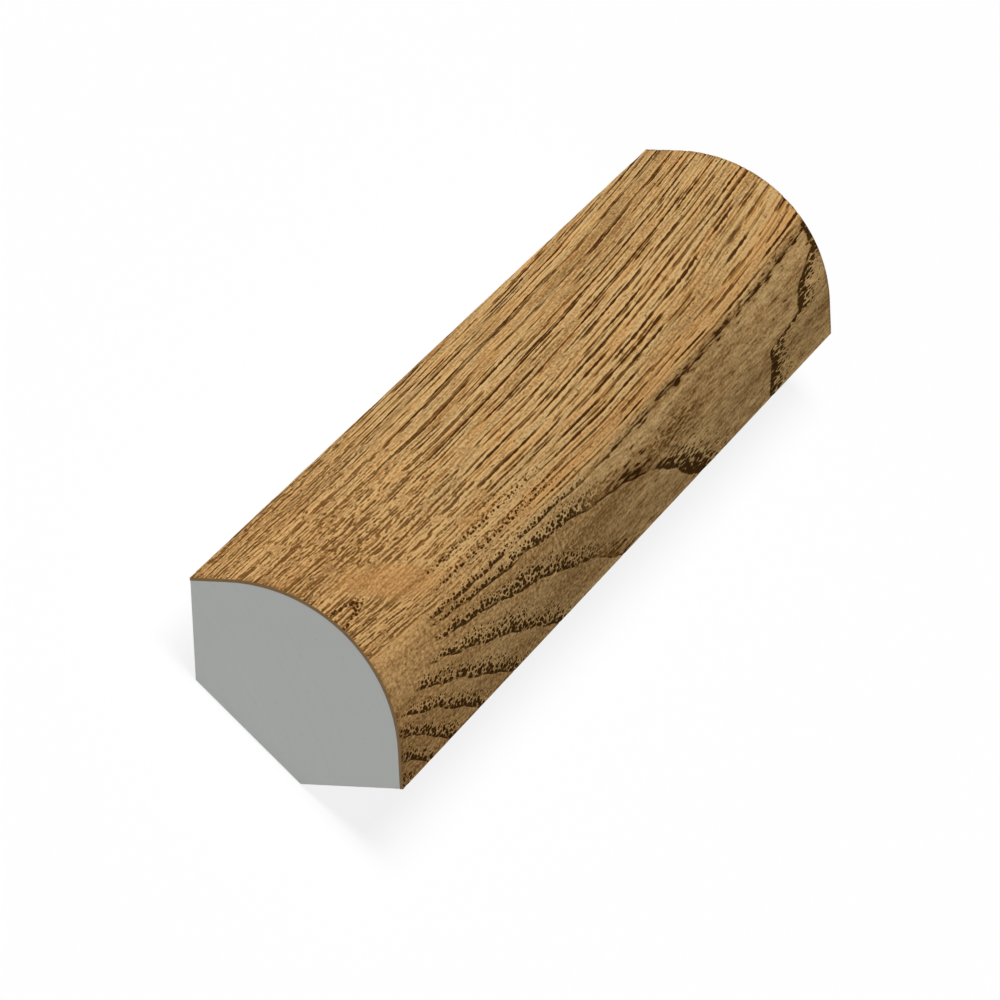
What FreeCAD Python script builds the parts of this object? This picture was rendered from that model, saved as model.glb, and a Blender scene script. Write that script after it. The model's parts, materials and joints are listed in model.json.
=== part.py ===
# Quarter round moulding, film-wrapped: a short cut length of floor trim.
#
# The section has two equal legs, one against the wall and one on the floor. The corner between
# them is relieved by a flat, and the corner facing the room is a quarter round that runs out into
# a short land at each end. The core is one extruded profile. A printed film is wrapped over the
# two lands and the round, and stops flush with the wall leg and the floor leg.
#
# The piece lies on its relief, because its weight is over the edge of either leg. The origin is
# on the surface it lies on, under the middle of the piece. +Y runs along the length, +Z is up.
# The sections are drawn as the moulding is fitted, wall on the left and floor below, and then
# turned to lie on the relief.

import FreeCAD, Part
import Sketcher
import os
from FreeCAD import Placement, Rotation, Vector

# Name, value in millimetres, what it is
SIZES = [
    ("leg_size", 19.05, "outer size of the section along the wall and along the floor"),
    ("land_width", 3.50, "flat land between each end of the round and the leg's edge"),
    ("film_thickness", 0.30, "printed film with its clear wear layer"),
    ("relief_leg", 9.40, "how far the relief cuts back along each leg"),
    ("stock_length", 152.4, "cut length"),
]

RELIEF_ANGLE = 45  # degrees between the relief and either leg, because it cuts both legs equally

START, END, CENTRE = range(1, 4)  # sketch vertices of a line or an arc, counted up from 1
X_AXIS, Y_AXIS = range(-1, -3, -1)  # fixed geometry of every sketch, counted down from -1
ORIGIN = (X_AXIS, START)  # the X axis starts at the origin


def make_sheet(doc):
    """The driving dimensions, one row each: name, value, meaning."""
    sheet = doc.addObject("Spreadsheet::Sheet", "Sizes")
    for row, (name, value, meaning) in enumerate(SIZES, start=1):
        sheet.set(f"A{row}", name)
        sheet.set(f"B{row}", str(value))
        sheet.set(f"C{row}", meaning)
        sheet.setAlias(f"B{row}", name)
    doc.recompute()
    return sheet


def make_body(doc, label):
    """An empty body with a sketch on its XZ plane, the plane of the section."""
    body = doc.addObject("PartDesign::Body", label)
    body.Label = label
    section_plane = next(f for f in body.Origin.OriginFeatures if f.Role == "XZ_Plane")
    sketch = body.newObject("Sketcher::SketchObject", f"{label}_section")
    sketch.AttachmentSupport = [(section_plane, "")]
    sketch.MapMode = "FlatFace"
    return body, sketch


def add_line(sketch, start, end):
    """A straight edge of the section, roughly in place: the constraints settle it."""
    return sketch.addGeometry(Part.LineSegment(Vector(*start), Vector(*end)), False)


def add_round(sketch, centre, radius):
    """A quarter arc that starts at the floor-leg end and ends at the wall-leg end."""
    circle = Part.Circle(Vector(*centre), Vector(0, 0, 1), radius)
    quarter_turn = FreeCAD.Units.Quantity("90 deg").getValueAs("rad").Value
    return sketch.addGeometry(Part.ArcOfCircle(circle, 0, quarter_turn), False)


def tie(sketch, kind, *where):
    """A geometric constraint."""
    sketch.addConstraint(Sketcher.Constraint(kind, *where))


def dimension(sketch, name, kind, where, rough, expression):
    """A named dimension, bound to the sheet by an expression."""
    index = sketch.addConstraint(Sketcher.Constraint(kind, *where, rough))
    sketch.renameConstraint(index, name)
    sketch.setExpression(f"Constraints.{name}", expression)


def draw_core(sketch, sheet):
    """Wall leg, wall-side land, round, floor-side land, floor leg and relief, in that order."""
    leg = sheet.leg_size - sheet.film_thickness
    cut = sheet.relief_leg
    middle = sheet.land_width
    wall = add_line(sketch, (0, cut), (0, leg))
    wall_land = add_line(sketch, (0, leg), (middle, leg))
    nose = add_round(sketch, (middle, middle), leg - middle)
    floor_land = add_line(sketch, (leg, middle), (leg, 0))
    floor = add_line(sketch, (leg, 0), (cut, 0))
    relief = add_line(sketch, (cut, 0), (0, cut))

    tie(sketch, "Coincident", wall, END, wall_land, START)
    tie(sketch, "Tangent", wall_land, END, nose, END)
    tie(sketch, "Tangent", nose, START, floor_land, START)
    tie(sketch, "Coincident", floor_land, END, floor, START)
    tie(sketch, "Coincident", floor, END, relief, START)
    tie(sketch, "Coincident", relief, END, wall, START)
    tie(sketch, "Horizontal", wall_land)
    tie(sketch, "Vertical", floor_land)
    tie(sketch, "PointOnObject", wall, START, Y_AXIS)
    tie(sketch, "PointOnObject", wall, END, Y_AXIS)
    tie(sketch, "PointOnObject", floor, START, X_AXIS)
    tie(sketch, "PointOnObject", floor, END, X_AXIS)
    tie(sketch, "Equal", wall_land, floor_land)

    dimension(sketch, "core_leg", "DistanceX", (*ORIGIN, floor, START), leg,
              "Sizes.leg_size - Sizes.film_thickness")
    dimension(sketch, "land", "DistanceX", (wall_land, START, wall_land, END), middle,
              "Sizes.land_width")
    dimension(sketch, "relief_wall", "DistanceY", (*ORIGIN, wall, START), cut,
              "Sizes.relief_leg")
    dimension(sketch, "relief_floor", "DistanceX", (*ORIGIN, floor, END), cut,
              "Sizes.relief_leg")


def draw_film(sketch, sheet):
    """The film's outer line from the wall leg to the floor leg, and its inner line back again."""
    outside = sheet.leg_size
    inside = sheet.leg_size - sheet.film_thickness
    middle = sheet.land_width
    outer_wall_land = add_line(sketch, (0, outside), (middle, outside))
    outer_nose = add_round(sketch, (middle, middle), outside - middle)
    outer_floor_land = add_line(sketch, (outside, middle), (outside, 0))
    floor_edge = add_line(sketch, (outside, 0), (inside, 0))
    inner_floor_land = add_line(sketch, (inside, 0), (inside, middle))
    inner_nose = add_round(sketch, (middle, middle), inside - middle)
    inner_wall_land = add_line(sketch, (middle, inside), (0, inside))
    wall_edge = add_line(sketch, (0, inside), (0, outside))

    tie(sketch, "Tangent", outer_wall_land, END, outer_nose, END)
    tie(sketch, "Tangent", outer_nose, START, outer_floor_land, START)
    tie(sketch, "Coincident", outer_floor_land, END, floor_edge, START)
    tie(sketch, "Coincident", floor_edge, END, inner_floor_land, START)
    tie(sketch, "Tangent", inner_floor_land, END, inner_nose, START)
    tie(sketch, "Tangent", inner_nose, END, inner_wall_land, START)
    tie(sketch, "Coincident", inner_wall_land, END, wall_edge, START)
    tie(sketch, "Coincident", wall_edge, END, outer_wall_land, START)
    tie(sketch, "Coincident", outer_nose, CENTRE, inner_nose, CENTRE)
    for land in (outer_wall_land, inner_wall_land):
        tie(sketch, "Horizontal", land)
    for land in (outer_floor_land, inner_floor_land):
        tie(sketch, "Vertical", land)
    tie(sketch, "PointOnObject", wall_edge, START, Y_AXIS)
    tie(sketch, "PointOnObject", wall_edge, END, Y_AXIS)
    tie(sketch, "PointOnObject", floor_edge, START, X_AXIS)
    tie(sketch, "PointOnObject", floor_edge, END, X_AXIS)
    tie(sketch, "Equal", outer_wall_land, outer_floor_land)

    dimension(sketch, "leg", "DistanceX", (*ORIGIN, floor_edge, START), outside,
              "Sizes.leg_size")
    dimension(sketch, "land", "DistanceX", (wall_edge, END, outer_wall_land, END), middle,
              "Sizes.land_width")
    dimension(sketch, "film", "DistanceX", (floor_edge, END, floor_edge, START), outside - inside,
              "Sizes.film_thickness")


def extrude(body, sketch):
    """The section carried along the whole length, half to each side of the origin."""
    pad = body.newObject("PartDesign::Pad", f"{body.Label}_length")
    pad.Profile = sketch
    pad.SideType = "Symmetric"
    pad.setExpression("Length", "Sizes.stock_length")
    sketch.Visibility = False


def lay_on_relief(body):
    """Turns the fitted section until its relief is level, and lowers the relief to Z = 0."""
    body.Placement = Placement(Vector(0, 0, 0), Rotation(Vector(0, 1, 0), -RELIEF_ANGLE))
    body.setExpression("Placement.Base.z", f"-Sizes.relief_leg * sin({RELIEF_ANGLE} deg)")


def check(doc, bodies):
    """Stops the macro if anything failed to compute, or if a sketch is loose or a solid is bad."""
    failed = [o.Label for o in doc.Objects if "Invalid" in o.State or "Error" in o.State]
    sketches = [o for o in doc.Objects if o.isDerivedFrom("Sketcher::SketchObject")]
    loose = [s.Label for s in sketches if not s.FullyConstrained]
    bad = [b.Label for b in bodies if not b.Shape.isValid() or len(b.Shape.Solids) != 1]
    if failed or loose or bad:
        raise RuntimeError(f"failed {failed}, loose sketches {loose}, bad solids {bad}")


def build():
    doc = FreeCAD.newDocument("QuarterRound")
    sheet = make_sheet(doc)
    bodies = []
    for label, draw in (("core", draw_core), ("decor_film", draw_film)):
        body, sketch = make_body(doc, label)
        draw(sketch, sheet)
        doc.recompute()
        extrude(body, sketch)
        lay_on_relief(body)
        bodies.append(body)
    doc.recompute()
    check(doc, bodies)
    os.makedirs("parts", exist_ok=True)
    for body in bodies:
        body.Shape.exportStep(f"parts/{body.Label}.step")
        box = body.Shape.BoundBox
        print(f"{body.Label}: {box.XLength:.2f} x {box.YLength:.2f} x {box.ZLength:.2f} mm, "
              f"volume {body.Shape.Volume:.1f} mm3, lowest {box.ZMin:.4f}")


build()
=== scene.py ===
# %% [markdown]
# # Quarter round moulding in an oak-print film
# A short cut length of floor trim. A grey polymer core is extruded to a quarter round section, and
# a printed, embossed film is wrapped over the faces that show. Two pieces are modelled here, the
# core and the film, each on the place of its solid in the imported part.

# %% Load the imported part
import json
import math
from types import SimpleNamespace

import bpy
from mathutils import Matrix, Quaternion, Vector

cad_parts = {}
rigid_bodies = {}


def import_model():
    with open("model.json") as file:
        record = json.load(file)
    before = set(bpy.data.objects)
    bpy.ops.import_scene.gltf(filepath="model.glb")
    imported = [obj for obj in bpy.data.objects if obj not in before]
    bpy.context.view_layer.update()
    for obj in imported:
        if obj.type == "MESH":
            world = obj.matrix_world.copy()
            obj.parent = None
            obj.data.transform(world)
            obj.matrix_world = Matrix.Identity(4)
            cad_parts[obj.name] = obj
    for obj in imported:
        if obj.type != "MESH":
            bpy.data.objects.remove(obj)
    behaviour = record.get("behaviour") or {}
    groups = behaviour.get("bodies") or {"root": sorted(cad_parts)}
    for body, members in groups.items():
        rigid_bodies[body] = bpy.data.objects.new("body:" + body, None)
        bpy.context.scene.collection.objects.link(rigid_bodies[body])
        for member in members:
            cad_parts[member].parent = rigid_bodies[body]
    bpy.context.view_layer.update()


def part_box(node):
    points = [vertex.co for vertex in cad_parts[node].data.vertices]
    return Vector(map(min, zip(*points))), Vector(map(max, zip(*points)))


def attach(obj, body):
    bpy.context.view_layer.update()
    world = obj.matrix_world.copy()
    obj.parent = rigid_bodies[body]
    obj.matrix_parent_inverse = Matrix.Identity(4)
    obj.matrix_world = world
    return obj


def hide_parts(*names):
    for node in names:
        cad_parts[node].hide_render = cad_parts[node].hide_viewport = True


MM = 1000  # millimetres in a metre

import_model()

# %% [markdown]
# ## Sizes
# The part lies on its relief, the flat that cuts the back corner, so its section is turned by 45
# degrees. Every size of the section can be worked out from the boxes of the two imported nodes, and
# then the pieces follow the part if its sizes change.

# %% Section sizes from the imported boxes
core_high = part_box("core")[1]
film_low, film_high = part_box("decor_film")
diagonal = math.sqrt(2)
length = film_high.y - film_low.y
leg = film_high.x * diagonal
core_leg = core_high.x * diagonal
film_thickness = leg - core_leg
relief = core_leg - film_low.z * diagonal
land = (film_high.z * diagonal + relief - leg * diagonal) / (2 - diagonal)
nose_radius = leg - land
flat_width = 2 * land + nose_radius * math.pi / 2
for name, size in (("leg", leg), ("core leg", core_leg), ("film", film_thickness), ("relief", relief),
                   ("land", land), ("nose radius", nose_radius), ("film cut width", flat_width)):
    print(f"{name}: {size * MM:.3f} mm")

# %% [markdown]
# ## Fields
# The oak on the film is one recipe that is needed twice: as a shader, for the ink, and as geometry
# nodes, for the pressed pores. Both kinds of tree have the same math and texture nodes. A small
# class that stands for "a number that changes over the film" lets the recipe be written once, as
# plain arithmetic, and drawn into either tree.

# %% A number that changes over the film
def plug(tree, slot, value):
    """Gives an input a plain value, or links it to a field."""
    if isinstance(value, Field):
        tree.links.new(value.socket, slot)
    else:
        slot.default_value = value


class Field:
    """One output of a node, with ordinary arithmetic. Each operation adds a Math node."""

    def __init__(self, tree, socket):
        self.tree = tree
        self.socket = socket

    def work(self, operation, *others):
        node = self.tree.nodes.new("ShaderNodeMath")
        node.operation = operation
        for slot, value in zip(node.inputs, (self, *others)):
            plug(self.tree, slot, value)
        return Field(self.tree, node.outputs[0])

    def __add__(self, other):
        return self.work("ADD", other)

    def __sub__(self, other):
        return self.work("SUBTRACT", other)

    def __mul__(self, other):
        return self.work("MULTIPLY", other)

    def __truediv__(self, other):
        return self.work("DIVIDE", other)

    def __pow__(self, other):
        return self.work("POWER", other)

    def from_one(self):
        return self.work("MULTIPLY_ADD", -1.0, 1.0)

    def least(self, other):
        return self.work("MINIMUM", other)

    def most(self, other):
        return self.work("MAXIMUM", other)

    def ramp(self, start, end):
        """0 before start, 1 after end, smooth between them. Start may be the larger."""
        node = self.tree.nodes.new("ShaderNodeMapRange")
        node.interpolation_type = "SMOOTHSTEP"
        for slot, value in zip(node.inputs, (self, start, end)):
            plug(self.tree, slot, value)
        return Field(self.tree, node.outputs[0])


print("fields ready")

# %% [markdown]
# Wood is mostly noise that is stretched along the grain. A noise node takes a scale without a unit,
# so a helper is given the size of the lumps in millimetres instead, across and along the film. The
# shift gives each noise a place of its own, because two noises at one place would look alike.

# %% Noise and ovals in millimetres
def spot(across, along, wide, long, shift=0.0):
    """A texture coordinate in which one unit is so many millimetres wide and long."""
    node = across.tree.nodes.new("ShaderNodeCombineXYZ")
    plug(across.tree, node.inputs[0], across / wide + shift)
    plug(across.tree, node.inputs[1], along / long + shift)
    return Field(across.tree, node.outputs[0])


def cloud(across, along, wide, long, shift=0.0, detail=1.0):
    """Smooth noise, 0 to 1, in lumps of that size in millimetres."""
    place = spot(across, along, wide, long, shift)
    node = place.tree.nodes.new("ShaderNodeTexNoise")
    node.noise_dimensions = "2D"
    plug(place.tree, node.inputs["Vector"], place)
    node.inputs["Scale"].default_value = 1.0
    node.inputs["Detail"].default_value = detail
    return Field(place.tree, node.outputs[0])


def oval(across, along, half_wide, half_long):
    """0 in the middle of an oval and 1 on its rim. Across and along are counted from its middle."""
    return (along / half_long) ** 2.0 + (across / half_wide) ** 2.0


print("noise and ovals ready")

# %% [markdown]
# ## The growth rings of the print
# The print is plain-sawn oak. On the wall side the rings run straight along the length. On the floor
# side they fan out from the near end, and come back in hooks further on. They could be drawn as
# curves, but a formula that gives each place a ring number is simpler: a ring ends where the number
# is whole. All sizes are millimetres, across from the wall edge and along from the near end.

# %% Ring number of each place
fan_border = 21.58  # across, where the fan begins in the middle of its bow
tight_ring = 1.9  # width of a ring in the straight grain
fan_rings = 1.764  # rings in the first millimetre of the fan, at the near end
fan_decay = 56.2  # along, the stretch in which the fan's rings thin out to about a third
fan_power = 0.618  # below 1, so that the rings widen towards the floor edge


def lie_of_grain(across, along):
    """How far across a place is from the border of the fan, which is bowed along the length."""
    sway = cloud(across, along, 8.0, 45.0, 3.1) - 0.5
    place = across + sway * 0.7
    straight = place.ramp(20.0, 12.0)
    middle = straight * -41.0 + 76.3
    bow = ((along - middle) / 53.7) ** 2.0
    return place - (bow * (straight * 0.25 - 1.0) + fan_border)


def ring_share(beyond, along):
    """The share of a place's ring that is left before the ring's edge, and the ring's width."""
    spread = (along / -fan_decay).work("EXPONENT") * fan_rings
    drop = along.ramp(84.0, 89.0) * along.ramp(127.0, 105.0) * 0.3
    fan_ring = ((beyond.most(0.0) ** fan_power) * spread - drop).most(0.02)
    ring = fan_ring + beyond.least(0.0) / tight_ring
    fan_width = (beyond.most(0.4) ** (1 - fan_power)) / (spread * fan_power)
    fan_width = fan_width.least(9.0).most(1.0)
    width = beyond.ramp(-0.3, 0.3) * (fan_width - tight_ring) + tight_ring
    return ring.work("FRACT").from_one(), width


print(f"ring formula ready: rings of {tight_ring} mm up to {fan_border} mm across, then the fan")

# %% [markdown]
# A ring of the fan that runs out over the floor edge comes back as a hook, with its strokes trailing
# off towards the far end. There are two hooks. Each has a formula for where it starts, and a place
# is measured by how far along it is past that start.

# %% Hooks, and all that is known of a place
first_reach = 22.0  # along, how far the strokes of the first hook trail
far_reach = 13.0  # the same for the far hook


def hook_starts(across, along, shiver):
    """How far along a place is past the start of the first hook, and of the far one."""
    first_start = (across - 26.0) * 3.1 + 84.0
    first_hook = along - first_start - shiver * 4.0
    first_hook = first_hook - across.ramp(26.4, 25.2) * 200.0
    far_start = across.ramp(26.9, 25.7) * 12.0 + across.ramp(24.2, 21.2) * 10.0 + 129.0
    far_hook = along - far_start - shiver * 3.0
    return first_hook, far_hook


def rings(across, along):
    """How the rings lie at a place, and how far it is from its ring's edge."""
    grain = lie_of_grain(across, along)
    shiver = cloud(across, along, 2.4, 6.5, 7.7) - 0.5
    beyond = grain + shiver * grain.ramp(-1.5, 1.0) * 0.7
    share, width = ring_share(beyond, along)
    first_hook, far_hook = hook_starts(across, along, shiver)
    fanned = beyond.ramp(-1.3, 0.0)
    # Mask of the fan side; wood_tone darkens it, partly as painted shade.
    dull = beyond.ramp(-1.5, 3.5)
    plain = (along + (beyond - 2.5).most(0.0) * 4.5).ramp(19.0, 13.0)
    ended = (along.ramp(82.0, 86.0) * across.ramp(25.0, 26.2)).most(far_hook.ramp(-0.3, 0.3))
    ringed = fanned * plain.from_one() * ended.from_one()
    return SimpleNamespace(grain=grain, beyond=beyond, share=share, edge=share * width, fanned=fanned,
                           dull=dull, ringed=ringed, first_hook=first_hook, far_hook=far_hook)


print("hooks reach", first_reach, "and", far_reach, "mm")

# %% [markdown]
# ## The pores of the print
# Oak shows its pores as dark strokes of three kinds, and each kind has a texture that suits it.
# Lines come from a Voronoi texture in one dimension, which gives the distance to the nearest line
# and a number that is that line's own, so that each line comes and goes by itself. Dots come from a
# Voronoi texture in two dimensions, one dot to a cell. Dashes and feathers are a noise that is inked
# wherever it falls below a level. Lines and dots also give a pale rim beside them, a painted
# highlight that stands for the lit edge of a pressed pore.

# %% Lines, dots and dashes
def cells(tree, dimensions, slot, place, scale=1.0):
    """Voronoi cells: how far a place is from its cell's point, and the node itself."""
    node = tree.nodes.new("ShaderNodeTexVoronoi")
    node.voronoi_dimensions = dimensions
    plug(tree, node.inputs[slot], place)
    node.inputs["Scale"].default_value = scale
    return Field(tree, node.outputs["Distance"]), node


def own_number(tree, node):
    """A number from 0 to 1 that each Voronoi cell has to itself, from the red of its colour."""
    apart = tree.nodes.new("ShaderNodeSeparateXYZ")
    tree.links.new(node.outputs["Color"], apart.inputs[0])
    return Field(tree, apart.outputs[0])


def inked(noise, level, soft=0.03):
    """1 where the noise is below the level, with a soft rim."""
    return noise.ramp(level + soft, level - soft)


def hairlines(grain, along, pitch, long, thick, shift):
    """Lines along the grain and their painted highlight rims: so far apart, coming and going in such a
    length.
    """
    off, node = cells(grain.tree, "1D", "W", grain / pitch + shift)
    off = off * pitch
    own = Field(grain.tree, node.outputs["W"])
    force = cloud(own, along, 0.06, long, shift, 2.0).ramp(0.40, 0.56)
    bead = cloud(own, along, 0.06, 1.9, shift + 3.0).ramp(0.3, 0.65)
    half = (bead * 0.5 + 0.5) * force * thick
    dark = off.ramp(half + 0.04, half - 0.03) * force
    # Painted highlight: a pale band round each line, for the lit edge of a pressed pore.
    pale = off.ramp(half + 0.32, half + 0.10) * force
    return dark, pale


def pips(across, along, wide, long, shift, size):
    """Separate dots and their painted highlight rims, one to a cell of that size, each a little larger or
    smaller.
    """
    off, node = cells(across.tree, "2D", "Vector", spot(across, along, wide, long, shift))
    radius = size + (own_number(across.tree, node) - 0.5) * 0.3
    dark = off.ramp(radius + 0.10, radius - 0.10) * radius.ramp(0.02, 0.2)
    # Painted highlight: a pale ring round each dot.
    pale = off.ramp(radius + 0.35, radius + 0.15)
    return dark, pale


print("three kinds of stroke ready")

# %% [markdown]
# The print changes along the film, so a few soft masks say where a place is: in the far half, close
# to the near end, in the calm wood beside the knot, on the verge of the fan, on its outermost ring, or
# in the smoky strokes beside the first hook. They could be painted by hand. As ovals and ramps they
# stay sharp at any size, and can be moved by changing a number.

# %% Zones of the film
def zones_of(across, along, lie):
    """Soft masks of the parts of the film where the strokes change."""
    calm_axis = across - (along - 15.0) * 0.34 - 15.3
    return SimpleNamespace(
        far=along.ramp(58.0, 78.0),
        close=along.ramp(55.0, 30.0),
        calm=oval(calm_axis, along - 15.0, 2.0, 9.0).ramp(2.2, 0.1),
        verge=lie.beyond.ramp(-7.0, -3.5) * along.ramp(70.0, 48.0) * along.ramp(16.0, 24.0),
        outer=lie.beyond.ramp(-1.5, -0.1) * lie.beyond.ramp(0.6, 0.0) * along.ramp(62.0, 80.0),
        smoke=oval(across - 24.9, along - 93.0, 1.9, 12.0).ramp(1.6, 0.1))


print("zones ready")

# %% [markdown]
# Where the rings run straight, the saw has gone along the pores, so they are hair-thin lines. Three
# sets of lines at different pitches overlap, and short dashes fill in between them. Strokes get
# shorter towards the near end, and on the verge of the fan they break up into rows of dots.

# %% Strokes of the straight grain
# Pitch, length of a run, half the thickness and shift of each set of lines
bold_lines = (0.86, 24.0, 0.125, 2.3)
fair_lines = (0.68, 12.0, 0.10, 7.1)
fine_lines = (0.48, 7.0, 0.08, 5.9)


def straight_strokes(across, along, lie, zones):
    """The long lines, the dashes between them, and the painted highlights beside the lines."""
    wave = cloud(across, along, 2.5, 16.0, 11.3) - 0.5
    ripple = (cloud(across, along, 1.5, 5.0, 27.9) - 0.5) * along.ramp(60.0, 30.0)
    grain = lie.grain + wave * 0.25 + ripple * 0.25
    pace = along - (along * -1.0 + 45.0).most(0.0) * 2.2
    ragged = lie.beyond + (cloud(across, along, 0.5, 12.0, 31.0) - 0.5) * zones.far * 3.0
    run = ragged.ramp(0.0, -1.3) * (zones.calm * -0.65 + 1.0)
    bold, bold_highlight = hairlines(grain, pace, *bold_lines)
    fair, fair_highlight = hairlines(grain, pace, *fair_lines)
    fine, fine_highlight = hairlines(grain, pace, *fine_lines)
    long = (bold * (zones.close * -0.2 + 1.0)).most(fair * 0.85)
    long = long.most(fine * (zones.close * 0.25 + 0.4)) * run
    holes = cloud(across, along, 0.30, 0.85, 19.3).ramp(0.56, 0.44)
    long = long * (zones.verge * (holes - 1.0) * 0.85 + 1.0)
    # The painted highlights beside the lines.
    beside = bold_highlight.most(fair_highlight * 0.8).most(fine_highlight * 0.6) * run
    patch = oval(across - 8.5, along - 17.0, 5.5, 11.0).ramp(1.3, 0.2)
    level = patch * 0.08 + zones.close * 0.06 + 0.24
    dash = inked(cloud(grain, along, 0.22, 1.6, 9.2), level) * run
    return long, dash, beside


print("straight grain: lines", bold_lines[0], fair_lines[0], "and", fine_lines[0], "mm apart")

# %% [markdown]
# Where the rings fan out, the saw has gone across the pores, so they are dots. They crowd against
# the edge of each ring and thin out away from it. They also crowd in a loop round the knot at the
# near end, in rows on the verge, and along the outermost ring.

# %% Where the dots crowd
def crowding(across, along, lie, zones):
    """How closely the dots lie at a place, 0 to 1."""
    loop = oval(across - 14.5, along, 0.8, 6.2).work("SQRT") - 1.0
    knot = loop.work("ABSOLUTE").ramp(0.45, 0.0)
    near_edge = lie.edge.ramp(2.6, 0.15).least(lie.share.ramp(0.85, 0.05))
    outermost = lie.beyond.ramp(1.0, 0.3) * zones.far * along.ramp(115.0, 95.0)
    fan = near_edge * lie.ringed * (outermost * -0.1 + 1.0)
    rows = lie.edge.ramp(1.1, 0.2) * zones.verge * 0.72
    return knot.most(fan).most(rows).most(zones.outer * 0.8)


print("crowding ready")

# %% [markdown]
# Each ring ends in a thin dark line that breaks off here and there. A hook starts with such a line
# too, and is then full of short strokes that get sparser along its reach.

# %% Ring lines and hooks
def hook(past, reach, lie, broken):
    """The line that a hook starts with, and how full of strokes the hook is."""
    inside = past.ramp(-0.5, 0.5) * lie.fanned
    line = past.ramp(reach * 0.14, 0.5) * inside * (broken * 0.5 + 0.5)
    fill = (past.ramp(reach, 0.0) * 0.38 + past.ramp(reach * 0.45, 0.0) * 0.34) * inside
    return line, fill


def ring_lines(across, along, lie, zones):
    """The lines at the edges of the rings and hooks, and how full of strokes the hooks are."""
    broken = cloud(across, along, 0.35, 4.5, 4.4).ramp(0.35, 0.6)
    line = lie.edge.ramp(zones.far * -0.12 + 0.38, 0.05) * lie.ringed
    line = line * (broken * (zones.far * -0.25 + 0.85) + zones.far * 0.25 + 0.15)
    first_line, first_fill = hook(lie.first_hook, first_reach, lie, broken)
    far_line, far_fill = hook(lie.far_hook, far_reach, lie, broken)
    return line.most(first_line).most(far_line), first_fill.most(far_fill)


print("ring lines ready")

# %% [markdown]
# Now the kinds of stroke are put together. The dots of the near half give way to feathers in the far
# half, because there the saw has met the pores at a lower angle. Taking the larger of two strokes,
# and not their sum, keeps the ink even where they cross.

# %% All strokes together
# Width, length and shift of the cells that the dots lie in
fan_dots = (0.35, 0.92, 8.1)
hook_strokes = (0.26, 1.9, 17.3)


def pores(across, along, lie):
    """The dark strokes by kind, the painted highlight rims beside them, and the grit of the wood between
    them.
    """
    zones = zones_of(across, along, lie)
    near_half = zones.far.from_one()
    long, dash, beside = straight_strokes(across, along, lie, zones)
    crowd = crowding(across, along, lie, zones)
    line, fill = ring_lines(across, along, lie, zones)
    pip, pip_highlight = pips(across, along, *fan_dots, crowd * 0.54 - 0.03)
    plume, plume_highlight = pips(across, along, *hook_strokes, fill.most(zones.smoke * 0.36) - 0.04)
    trail = cloud(across, along, 0.30, 3.2, 14.6)
    feather = inked(trail, crowd * 0.30 + 0.19, 0.08) * zones.far
    dots = pip * near_half * lie.fanned.most(crowd.ramp(0.1, 0.5))
    dots = dots.most(feather * lie.fanned.most(zones.outer))
    dots = dots.most(plume * fill.ramp(0.02, 0.12).most(zones.smoke * 0.6))
    # rim gathers the painted highlights beside the lines, dots and hook strokes.
    rim = (pip_highlight * crowd * near_half).most(beside).most(plume_highlight * fill)
    grit = cloud(across, along, 0.30, 0.9, 8.1)
    grit = grit + (trail - grit) * zones.far - 0.5
    return SimpleNamespace(long=long, dash=dash, dots=dots, line=line, rim=rim, grit=grit, crowd=crowd,
                           calm=zones.calm, far=zones.far)


print("pore strokes ready")

# %% [markdown]
# ## The film
# The film comes off a roll flat, is printed, pressed and then wrapped round the core with glue. It
# could be modelled as an arc and given thickness, but making it as it is really made is simpler:
# a flat strip keeps its print straight in its UV map, and one bend lays it over the nose. The strip
# starts as a grid, gets its thickness by an extrusion, and only its upper face is divided finely.

# %% A flat strip of film
columns, rows, fine_cuts = 28, 31, 8


def size_and_place(size, offset):
    """Gives a new primitive of unit size its size and place, and applies them to its mesh."""
    bpy.ops.transform.resize(value=size)
    bpy.ops.transform.translate(value=offset)
    bpy.ops.object.transform_apply(location=True, rotation=True, scale=True)


bpy.ops.object.select_all(action="DESELECT")
bpy.ops.mesh.primitive_grid_add(x_subdivisions=columns, y_subdivisions=rows, size=1, calc_uvs=True)
film = bpy.context.object
film.name = "wrapped_film"
film.data.name = "wrapped_film"
size_and_place((flat_width, length, 1), (0, 0, -film_thickness))
bpy.ops.object.mode_set(mode="EDIT")
bpy.ops.mesh.select_all(action="SELECT")
bpy.ops.mesh.extrude_region_move(TRANSFORM_OT_translate={"value": (0, 0, film_thickness)})
bpy.ops.mesh.subdivide(number_cuts=fine_cuts)
bpy.ops.mesh.select_all(action="SELECT")
bpy.ops.mesh.normals_make_consistent(inside=False)
bpy.ops.object.mode_set(mode="OBJECT")
print("film strip:", len(film.data.polygons), "faces,",
      [round(v * MM, 3) for v in film.dimensions], "mm")

# %% [markdown]
# ## Pressing the pores
# The press plate follows the print, so the pores can be felt. Geometry nodes move the points of the
# upper face down where the recipe has a stroke. Only the long strokes and the ring lines are
# pressed into the mesh. Dots are smaller than the mesh can carry, so they are left to bump.

# %% A press plate in register with the print
press_depth = 0.00005


def new_group(name, kind, given, put_out):
    """An empty node group with those sockets, and its entry and exit nodes."""
    group = bpy.data.node_groups.new(name, kind)
    for way, sockets in (("INPUT", given), ("OUTPUT", put_out)):
        for socket, socket_type in sockets.items():
            group.interface.new_socket(socket, in_out=way, socket_type=socket_type)
    return group, group.nodes.new("NodeGroupInput"), group.nodes.new("NodeGroupOutput")


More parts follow.
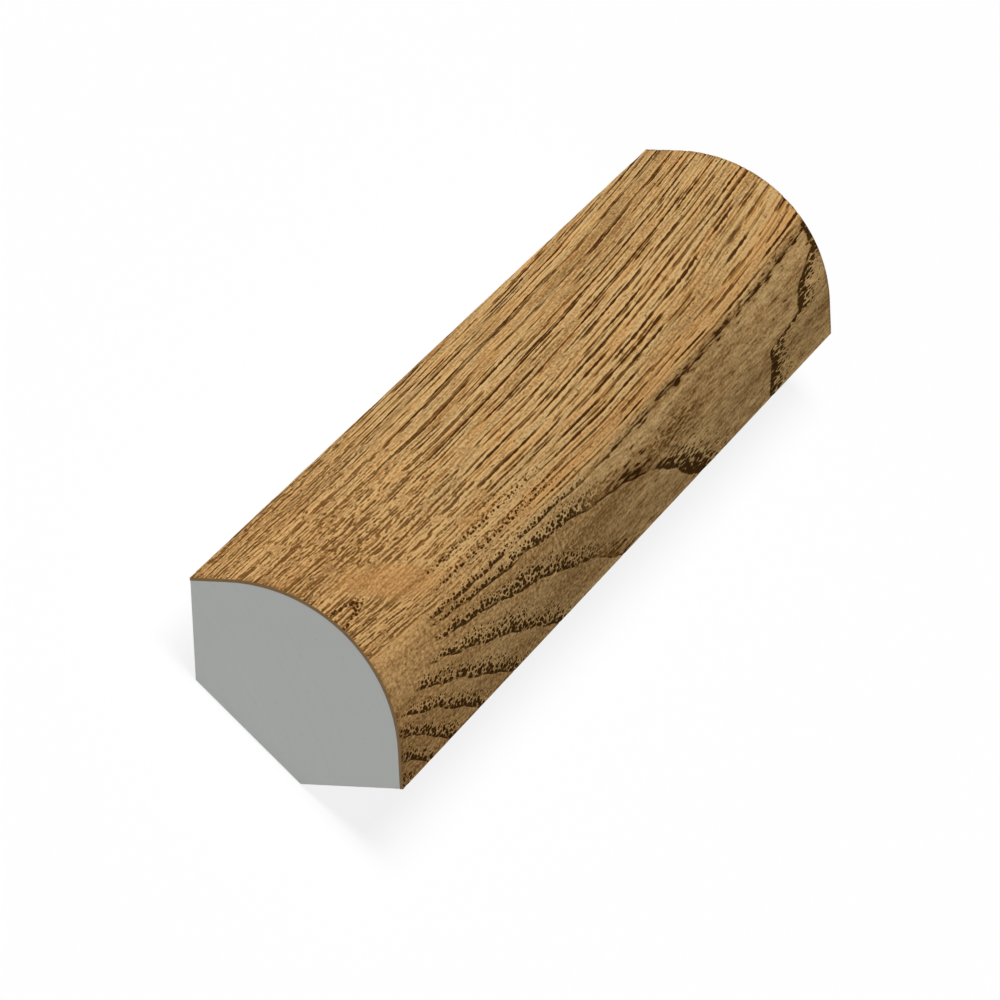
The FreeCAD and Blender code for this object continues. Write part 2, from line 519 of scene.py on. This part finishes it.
geometry = {"Film": "NodeSocketGeometry"}
press, entry, leave = new_group("Oak press", "GeometryNodeTree", geometry, geometry)
position = press.nodes.new("GeometryNodeInputPosition")
apart = press.nodes.new("ShaderNodeSeparateXYZ")
press.links.new(position.outputs[0], apart.inputs[0])
across = Field(press, apart.outputs[0]) * MM + flat_width * MM / 2
along = Field(press, apart.outputs[1]) * MM + length * MM / 2
upper = Field(press, apart.outputs[2]).ramp(-film_thickness * 0.6, -film_thickness * 0.4)
struck = pores(across, along, rings(across, along))
push = press.nodes.new("ShaderNodeCombineXYZ")
plug(press, push.inputs[2], struck.long.most(struck.line) * upper * -press_depth)
move = press.nodes.new("GeometryNodeSetPosition")
press.links.new(entry.outputs[0], move.inputs["Geometry"])
press.links.new(push.outputs[0], move.inputs["Offset"])
press.links.new(move.outputs[0], leave.inputs[0])
print("press plate:", len(press.nodes), "nodes")

# %% [markdown]
# The group goes on the strip as a modifier and is applied at once, so that the pores are in the mesh
# before it is bent and turn with it.

# %% Emboss the upper face
plate = film.modifiers.new("Press plate", "NODES")
plate.node_group = press
bpy.ops.object.modifier_apply(modifier=plate.name)
depths = [v.co.z for v in film.data.vertices if v.co.z > -film_thickness / 2]
print(f"pressed: deepest {min(depths) * -MM:.3f} mm,",
      sum(z < -press_depth / 3 for z in depths), "of", len(depths), "points moved by a third or more")

# %% [markdown]
# ## Wrapping
# The film and later the core are turned and raised as whole pieces, with their place kept in the mesh
# and the object left at the origin. Each is then measured against the box of its CAD node.

# %% Turn, raise and measure a piece
def turn(angle, axis):
    """Turns what is selected about the origin. With no window the operator turns the other way."""
    bpy.ops.transform.rotate(value=-angle, orient_axis=axis, center_override=(0, 0, 0))
    bpy.ops.object.transform_apply(location=True, rotation=True, scale=True)


def raise_by(height):
    """Moves what is selected up, in its mesh."""
    bpy.ops.transform.translate(value=(0, 0, height))
    bpy.ops.object.transform_apply(location=True, rotation=True, scale=True)


def worst(piece, node):
    """The most that the box of a piece's points differs from its node's box, in millimetres."""
    points = [v.co for v in piece.data.vertices]
    low = [min(p[i] for p in points) for i in range(3)]
    high = [max(p[i] for p in points) for i in range(3)]
    pairs = zip((low, high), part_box(node))
    return max(abs(a - b) for mine, cad in pairs for a, b in zip(mine, cad)) * MM


print("ready to wrap")

# %% [markdown]
# Simple Deform bends the strip by a quarter turn. Its limits leave a straight land on each side of
# the nose. The upper face is at the strip's zero height, so it keeps its printed length and gets
# exactly the outer radius. The strip is stood on its edge for the bend and laid back after it.

# %% Bend the strip over the nose
quarter_turn = math.pi / 2
turn(quarter_turn, "X")
wrap = film.modifiers.new("Wrap", "SIMPLE_DEFORM")
wrap.deform_method = "BEND"
wrap.deform_axis = "Z"
wrap.angle = quarter_turn
wrap.limits = (land / flat_width, 1 - land / flat_width)
bpy.ops.object.modifier_apply(modifier=wrap.name)
turn(-quarter_turn, "X")
raise_by(film_high.z)
bpy.ops.object.shade_smooth_by_angle(angle=math.radians(60))
print(f"film wrapped, box within {worst(film, 'decor_film'):.3f} mm of its node")

# %% [markdown]
# ## The core
# The core is extruded from a grey, rigid polymer. It could be drawn as a section and extruded, but
# a bar with two bevelled edges is the same thing in fewer steps: one flat bevel cuts the relief on
# the back corner, and one round bevel makes the nose under the film. It is shaped as it is fitted,
# with the wall at X = 0 and the floor at Z = 0, and then turned to lie on its relief.

# %% A bar with a relief and a nose
nose_facets = 48


def near(a, b):
    """True for two lengths that are the same but for rounding."""
    return abs(a - b) < 1e-6


def bevel_edges(piece, wanted, offset, segments):
    """Bevels the edges of a piece whose two ends answer to wanted."""
    bpy.ops.object.mode_set(mode="EDIT")
    bpy.ops.mesh.select_mode(type="EDGE")
    bpy.ops.mesh.select_all(action="DESELECT")
    bpy.ops.object.mode_set(mode="OBJECT")
    points = piece.data.vertices
    for edge in piece.data.edges:
        edge.select = wanted(*(points[i].co for i in edge.vertices))
    bpy.ops.object.mode_set(mode="EDIT")
    bpy.ops.mesh.bevel(offset_type="OFFSET", offset=offset, segments=segments, profile=0.5, affect="EDGES")
    bpy.ops.object.mode_set(mode="OBJECT")


bpy.ops.object.select_all(action="DESELECT")
bpy.ops.mesh.primitive_cube_add(size=1)
core = bpy.context.object
core.name = "extruded_core"
core.data.name = "extruded_core"
size_and_place((core_leg, length, core_leg), (core_leg / 2, 0, core_leg / 2))
bevel_edges(core, lambda a, b: near(a.x + a.z + b.x + b.z, 0), relief, 1)
bevel_edges(core, lambda a, b: near(a.x + a.z + b.x + b.z, core_leg * 4), core_leg - land, nose_facets)
print("core bar:", len(core.data.polygons), "faces")

# %% [markdown]
# The die and the saw never leave a dead sharp corner. The edges of the two legs and the relief are
# eased by a tenth of a millimetre, which gives them a fine highlight. The edges under the film stay
# as they are, because the film lies tight on them.

# %% Ease the bare edges
ease = 0.00012


def bare(a, b):
    """An edge of the wall leg, the floor leg or the relief that the film doesn't touch."""
    on_wall = near(a.x, 0) and near(b.x, 0)
    on_floor = near(a.z, 0) and near(b.z, 0)
    on_relief = near(a.x + a.z, relief) and near(b.x + b.z, relief)
    under_film = max(a.x, b.x, a.z, b.z) > core_leg - land and near(a.x, b.x) and near(a.z, b.z)
    return (on_wall or on_floor or on_relief) and not under_film


bevel_edges(core, bare, ease, 2)
turn(-quarter_turn / 2, "Y")
raise_by(-relief / diagonal)
bpy.ops.object.shade_smooth_by_angle(angle=math.radians(20))
print(f"core laid on its relief, box within {worst(core, 'core'):.3f} mm of its node")

# %% [markdown]
# ## The ink
# Wood is never one brown. Its tone runs in long streaks along the grain, with a fine fibre and a
# speckle over them. It is darker where the dots crowd, and darker within a millimetre of the sawn
# ends. The fan is darker, partly as duller wood and partly as painted shade of the floor side, which
# turns from the light. The nose is lighter as painted light, and the pale rims beside the pores are
# painted highlights. One noise with much detail could stand for it all, but separate ones can be
# given the size and the weight that each has in real oak.

# %% Tone of the wood
middle_tone = 0.465


def wood_tone(across, along, lie, struck):
    """How light the wood is at a place, painted light and shade included: 0 is the deep wood and 1 the
    pale one.
    """
    broad = cloud(lie.grain, along, 4.5, 45.0, 61.0) - 0.5
    streak = cloud(lie.grain, along, 1.3, 40.0, 21.7, 2.0) - 0.5
    fibre = cloud(lie.grain, along, 0.25, 4.0, 33.2, 2.0) - 0.5
    speck = cloud(across, along, 0.20, 0.7, 40.1, 2.0) - 0.5
    # The rims add painted highlights beside the pores; speck and grit are the wood's own speckle.
    fleck = speck * (lie.fanned * -0.3 + 1.4) + struck.grit * lie.fanned * 1.1 + struck.rim * 0.55
    wall_corner = along.ramp(40.0, 10.0) * across.ramp(16.0, 8.0)
    # Painted light: the nose is made lighter, as if the lamp fell on it more fully.
    nose = across.ramp(8.0, 16.0) * across.ramp(25.0, 20.0)
    # Partly duller wood of the fan, partly painted shade of the floor side, which turns from the light.
    fan = lie.dull * along.ramp(115.0, 70.0)
    tone_and_painted_light = wall_corner * -0.03 + nose * 0.11 - fan * 0.12
    from_end = along.least(along * -1.0 + length * MM)
    # Darker within about a millimetre of each sawn end.
    end_darkening = from_end.ramp(1.1, 0.2)
    shade = struck.crowd * (struck.far * 0.13 + 0.12)
    tone = broad * 0.5 + streak * 0.9 + fibre * 0.55 + fleck - shade + tone_and_painted_light
    return tone - end_darkening * 0.2 - struck.calm * 0.05 + middle_tone


print("wood tone ready")

# %% [markdown]
# The colour shifts too. Some streaks are warmer and some cooler, an orange strip runs beside the fan,
# the near end is warm, and the fan itself is cool.

# %% Warm and cool casts
def casts(along, lie, struck):
    """How warm and how cool the wood is at a place."""
    hue = cloud(lie.grain, along, 0.7, 18.0, 51.3, 2.0) - 0.5
    strip = along.ramp(20.0, 60.0) * (lie.grain + 2.1).work("ABSOLUTE").ramp(1.6, 0.4) * (hue + 0.75)
    warm = (hue.ramp(-0.04, 0.2) * (lie.fanned * -0.4 + 0.7)).most(strip)
    warm = warm.most(struck.calm).most(along.ramp(45.0, 10.0) * 0.5)
    border = along.ramp(35.0, 60.0) * (lie.grain - 0.6).work("ABSOLUTE").ramp(2.2, 0.8)
    cool = (hue.ramp(0.0, -0.22) * 0.55).most(border * 0.8).most(lie.dull * 0.75)
    return warm, cool


print("casts ready")

# %% [markdown]
# The print group takes a place on the film in millimetres and gives what the inks and the press do
# there: how dark the pores are, where the fan is, how light, warm and cool the wood is, and how the
# press left the surface. It is a group because all of it belongs together under one name, and the
# material then stays small enough to read.

# %% Oak print as a shader group
masks = ("Pores", "Fan", "Tone", "Warm", "Cool", "Relief")
ink, entry, leave = new_group("Oak print", "ShaderNodeTree", {"Place": "NodeSocketVector"},
                              dict.fromkeys(masks, "NodeSocketFloat"))
apart = ink.nodes.new("ShaderNodeSeparateXYZ")
ink.links.new(entry.outputs["Place"], apart.inputs[0])
across = Field(ink, apart.outputs[0])
along = Field(ink, apart.outputs[1])
lie = rings(across, along)
struck = pores(across, along, lie)
dark = struck.long.most(struck.dots).most(struck.line).most(struck.dash * 0.8)
warm, cool = casts(along, lie, struck)
plug(ink, leave.inputs["Pores"], dark)
plug(ink, leave.inputs["Fan"], lie.fanned)
plug(ink, leave.inputs["Tone"], wood_tone(across, along, lie, struck))
plug(ink, leave.inputs["Warm"], warm)
plug(ink, leave.inputs["Cool"], cool)
plug(ink, leave.inputs["Relief"], dark.from_one() + struck.grit * 0.3)
print("oak print:", len(ink.nodes), "nodes")

# %% [markdown]
# ## The film's face
# Every material here needs the same few steps: a shader to start from, colours mixed by a field, and
# a fine relief. They are written once.

# %% Materials and colour mixes
mix_share, mix_first, mix_second, mix_result = 0, 6, 7, 2  # the sockets of a Mix node for colours


def new_material(name):
    """An empty material with a Principled shader, and that shader."""
    material = bpy.data.materials.new(name)
    material.use_nodes = True
    shader = material.node_tree.nodes["Principled BSDF"]
    return material, shader


def tint(tree, share, first, second, blend="MIX"):
    """Mixes two colours by a field."""
    node = tree.nodes.new("ShaderNodeMix")
    node.data_type = "RGBA"
    node.blend_type = blend
    plug(tree, node.inputs[mix_share], share)
    plug(tree, node.inputs[mix_first], first)
    plug(tree, node.inputs[mix_second], second)
    return Field(tree, node.outputs[mix_result])


def feel(tree, shader, height, strength, depth):
    """Gives a shader its fine relief by bump, so many metres deep."""
    bump = tree.nodes.new("ShaderNodeBump")
    bump.inputs["Strength"].default_value = strength
    bump.inputs["Distance"].default_value = depth
    plug(tree, bump.inputs["Height"], height)
    tree.links.new(bump.outputs[0], shader.inputs["Normal"])


print("material helpers ready")

# %% [markdown]
# The face is printed, then pressed, then sealed under a dead matte wear layer. One Principled shader
# does it. The group's tone mixes a deep and a pale wood, its casts tint them, its pores first stain
# the wood round them and then bring in the dark ink, and its relief goes through a Bump node. The
# place comes from the UV map, which was laid on the flat strip, so the print follows the bend.

# %% Film face
pale_wood = (0.690, 0.440, 0.186, 1)
deep_wood = (0.230, 0.115, 0.036, 1)
warm_cast = (1.0, 0.86, 0.74, 1)
cool_cast = (0.90, 0.95, 1.0, 1)
stain = (1.0, 0.88, 0.68, 1)
line_ink = (0.046, 0.010, 0.001, 1)
ring_ink = (0.030, 0.011, 0.002, 1)
face, shader = new_material("film face")
tree = face.node_tree
unwrap = tree.nodes.new("ShaderNodeUVMap")
unwrap.uv_map = film.data.uv_layers[0].name
unroll = tree.nodes.new("ShaderNodeVectorMath")
unroll.operation = "MULTIPLY"
unroll.inputs[1].default_value = (flat_width * MM, length * MM, 1)
tree.links.new(unwrap.outputs[0], unroll.inputs[0])
printed = tree.nodes.new("ShaderNodeGroup")
printed.node_tree = ink
tree.links.new(unroll.outputs[0], printed.inputs["Place"])
got = {output.name: Field(tree, output) for output in printed.outputs}
wood = tint(tree, got["Tone"], deep_wood, pale_wood)
wood = tint(tree, got["Warm"], wood, warm_cast, "MULTIPLY")
wood = tint(tree, got["Cool"], wood, cool_cast, "MULTIPLY")
wood = tint(tree, got["Pores"].ramp(0.0, 0.5), wood, stain, "MULTIPLY")
wood = tint(tree, got["Pores"] * 0.95, wood, tint(tree, got["Fan"], line_ink, ring_ink))
plug(tree, shader.inputs["Base Color"], wood)
shader.inputs["Roughness"].default_value = 0.8
shader.inputs["Specular IOR Level"].default_value = 0.0
feel(tree, shader, got["Relief"], 0.8, 0.00010)
print("film face:", len(tree.nodes), "nodes")

# %% [markdown]
# Where the saw went through the film, its edge shows as a thin dark brown line round the end. It is
# the film's own body, without print or wear layer, slightly uneven from the teeth. A second material
# on the end faces does it, and no mesh has to be added.

# %% Film edge
pale_edge = (0.195, 0.124, 0.058, 1)
deep_edge = (0.145, 0.092, 0.042, 1)


def noise_at(tree, place, scale, detail=2.0):
    """Plain noise on a place in metres."""
    node = tree.nodes.new("ShaderNodeTexNoise")
    node.inputs["Scale"].default_value = scale
    node.inputs["Detail"].default_value = detail
    tree.links.new(place, node.inputs["Vector"])
    return Field(tree, node.outputs[0])


def mark_ends(piece):
    """Gives the sawn ends of a piece its second material, and counts their faces."""
    for polygon in piece.data.polygons:
        polygon.material_index = int(abs(polygon.normal.y) > 0.9)
    return sum(p.material_index for p in piece.data.polygons)


edge_brown, shader = new_material("film cut edge")
tree = edge_brown.node_tree
here = tree.nodes.new("ShaderNodeTexCoord")
grit = noise_at(tree, here.outputs["Object"], 3000.0)
plug(tree, shader.inputs["Base Color"], tint(tree, grit, deep_edge, pale_edge))
shader.inputs["Roughness"].default_value = 0.7
shader.inputs["Specular IOR Level"].default_value = 0.1
film.data.materials.append(face)
film.data.materials.append(edge_brown)
print("film edge faces:", mark_ends(film))

# %% [markdown]
# ## The core's grey
# Rigid extruded polymer is a very even, matte grey. Close up it has a faint cloudiness and a few
# fine pits. Both materials of the core need them, so they are one group.

# %% Polymer body as a shader group
polymer, entry, leave = new_group("Polymer body", "ShaderNodeTree", {"Place": "NodeSocketVector"},
                                  dict.fromkeys(("Cloud", "Pits"), "NodeSocketFloat"))
place = entry.outputs["Place"]
off, specks = cells(polymer, "3D", "Vector", Field(polymer, place), 1400.0)
pit = off.ramp(0.35, 0.1) * own_number(polymer, specks).ramp(0.85, 0.9)
plug(polymer, leave.inputs["Cloud"], noise_at(polymer, place, 180.0, 5.0))
plug(polymer, leave.inputs["Pits"], pit)
print("polymer body:", len(polymer.nodes), "nodes")

# %% [markdown]
# Each face of the core keeps the marks of what made it: fine lines along the length from the die, and
# shallow arcs on the ends from the saw blade. Both are noise. The lines stretch it along the length,
# and the arcs read it by the distance from the blade's centre.

# %% Marks of the die and the saw
blade_centre = (-0.045, 0, -0.118)


def die_lines(tree, place):
    """Fine lines along the length."""
    stretch = tree.nodes.new("ShaderNodeMapping")
    stretch.inputs["Scale"].default_value = (1, 0.004, 1)
    tree.links.new(place, stretch.inputs["Vector"])
    return noise_at(tree, stretch.outputs[0], 1800.0)


def saw_arcs(tree, place):
    """Shallow arcs about a blade centre far below the end."""
    blade = tree.nodes.new("ShaderNodeMapping")
    blade.inputs["Location"].default_value = [-v for v in blade_centre]
    tree.links.new(place, blade.inputs["Vector"])
    flat = tree.nodes.new("ShaderNodeVectorMath")
    flat.operation = "MULTIPLY"
    flat.inputs[1].default_value = (1, 0, 1)
    tree.links.new(blade.outputs[0], flat.inputs[0])
    reach = tree.nodes.new("ShaderNodeVectorMath")
    reach.operation = "LENGTH"
    tree.links.new(flat.outputs[0], reach.inputs[0])
    arcs = tree.nodes.new("ShaderNodeTexNoise")
    arcs.noise_dimensions = "1D"
    arcs.inputs["Scale"].default_value = 2200.0
    tree.links.new(reach.outputs["Value"], arcs.inputs["W"])
    return Field(tree, arcs.outputs[0])


print("saw blade centre in mm:", [v * MM for v in blade_centre])

# %% [markdown]
# The extruded skin is a little smoother and shows more pits than the cut end, which the saw has
# brushed dull. One function makes both materials, each with its own marks.

# %% Extruded skin and cut end
pale_grey = (0.368, 0.377, 0.363, 1)
deep_grey = (0.336, 0.345, 0.331, 1)
pit_grey = (0.230, 0.236, 0.226, 1)


def grey(name, roughness, pits, marks):
    """A core material: the polymer body, plus the marks that its face was left with."""
    material, shader = new_material(name)
    tree = material.node_tree
    here = tree.nodes.new("ShaderNodeTexCoord")
    body = tree.nodes.new("ShaderNodeGroup")
    body.node_tree = polymer
    tree.links.new(here.outputs["Object"], body.inputs["Place"])
    cloudy = Field(tree, body.outputs["Cloud"])
    pitted = Field(tree, body.outputs["Pits"]) * pits
    mark = marks(tree, here.outputs["Object"])
    shade = tint(tree, cloudy * 0.7 + mark * 0.3, deep_grey, pale_grey)
    plug(tree, shader.inputs["Base Color"], tint(tree, pitted, shade, pit_grey))
    plug(tree, shader.inputs["Roughness"], cloudy * 0.1 + roughness)
    feel(tree, shader, mark - pitted, 0.5, 0.00002)
    return material


core.data.materials.append(grey("core extruded skin", 0.5, 0.4, die_lines))
core.data.materials.append(grey("core cut end", 0.62, 0.12, saw_arcs))
print("core end faces:", mark_ends(core))

# %% [markdown]
# ## Joining the frame
# Both pieces ride on the part's only body and stand for their CAD nodes, which stay underneath for
# collision.

# %% Ride on the body
for piece, node in ((core, "core"), (film, "decor_film")):
    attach(piece, "root")
    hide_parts(node)
    print(piece.name, "stands for", node)

# %% [markdown]
# ## Floor and light
# The floor is plain white. It takes the shadow as a diffuse surface does, and shows the camera some
# light of its own, so that it reads as white paper. More lamp light could make it white too, but that
# would bleach the part.

# %% White floor
paper_grey = (0.8, 0.8, 0.8, 1)
paper_glow = 1.06
glow_share = 0.8


def looked_at(tree):
    """1 for rays of the camera, of reflections and through glass, and 0 for the light that falls."""
    rays = tree.nodes.new("ShaderNodeLightPath").outputs
    seen = Field(tree, rays["Is Camera Ray"]).most(Field(tree, rays["Is Glossy Ray"]))
    return seen.most(Field(tree, rays["Is Transmission Ray"]))


bpy.ops.object.select_all(action="DESELECT")
bpy.ops.mesh.primitive_plane_add(size=12, location=(0, 0, -0.00005))
floor = bpy.context.object
floor.name = "floor"
paper = bpy.data.materials.new("white paper")
paper.use_nodes = True
tree = paper.node_tree
tree.nodes.clear()
matte = tree.nodes.new("ShaderNodeBsdfDiffuse")
matte.inputs["Color"].default_value = paper_grey
glow = tree.nodes.new("ShaderNodeEmission")
glow.inputs["Strength"].default_value = paper_glow
both = tree.nodes.new("ShaderNodeMixShader")
plug(tree, both.inputs[0], looked_at(tree) * glow_share)
tree.links.new(matte.outputs[0], both.inputs[1])
tree.links.new(glow.outputs[0], both.inputs[2])
ended = tree.nodes.new("ShaderNodeOutputMaterial")
tree.links.new(both.outputs[0], ended.inputs["Surface"])
floor.data.materials.append(paper)
print("floor is", floor.dimensions.x, "m wide")

# %% [markdown]
# One wide, soft lamp comes from above the wall side, so the floor side is about half as bright. A
# second lamp fills the near end, and the world lifts the rest. Sun lamps are used because their light
# has the same level all along the part.

# %% Lamps and world
ambient = 0.04


def softbox(name, toward, level, width):
    """A sun lamp of a wide angle: even soft light from one side. Level 1 shows a colour as written."""
    bpy.ops.object.light_add(type="SUN")
    lamp = bpy.context.object
    lamp.name = name
    lamp.rotation_mode = "QUATERNION"
    lamp.rotation_quaternion = Vector(toward).to_track_quat("Z", "Y")
    lamp.data.energy = level * math.pi
    lamp.data.angle = math.radians(width)


softbox("key", (-0.375, -0.10, 0.927), 0.92, 40)
softbox("end fill", (0.0, -1.0, 0.03), 0.59, 16)
world = bpy.data.worlds.new("studio")
bpy.context.scene.world = world
world.use_nodes = True
tree = world.node_tree
tree.nodes.clear()
sky = tree.nodes.new("ShaderNodeBackground")
sky.inputs["Color"].default_value = (1, 1, 1, 1)
plug(tree, sky.inputs["Strength"], looked_at(tree) * (1 - ambient) + ambient)
ended = tree.nodes.new("ShaderNodeOutputWorld")
tree.links.new(sky.outputs[0], ended.inputs["Surface"])
bpy.context.scene.view_settings.view_transform = "Standard"

# %% [markdown]
# ## Camera
# The part was photographed with a long lens from in front of the near end, and the camera was
# rolled so that the section stands as it is fitted, wall on the left and floor below. So the camera
# here is set up level, on the length's line, and then rolled by nearly 45 degrees.

# %% Rolled camera
height = math.radians(23.52)
roll = math.radians(44.818)
distance = 0.98855
lowered = 0.00514
aim = Vector((0.00136, 0, 0.006))
back = Vector((0, -math.cos(height), math.sin(height)))
upward = Vector((0, math.sin(height), math.cos(height)))
bpy.ops.object.camera_add()
camera = bpy.context.object
camera.name = "camera"
camera.location = aim + back * distance - upward * lowered
camera.rotation_mode = "QUATERNION"
camera.rotation_quaternion = (-back).to_track_quat("-Z", "Y") @ Quaternion((0, 0, 1), roll)
camera.data.sensor_width = 36
camera.data.lens = 369.05
camera.data.clip_start = 0.01
camera.data.clip_end = 50
bpy.context.scene.camera = camera
print("camera at", [round(v, 4) for v in camera.location])
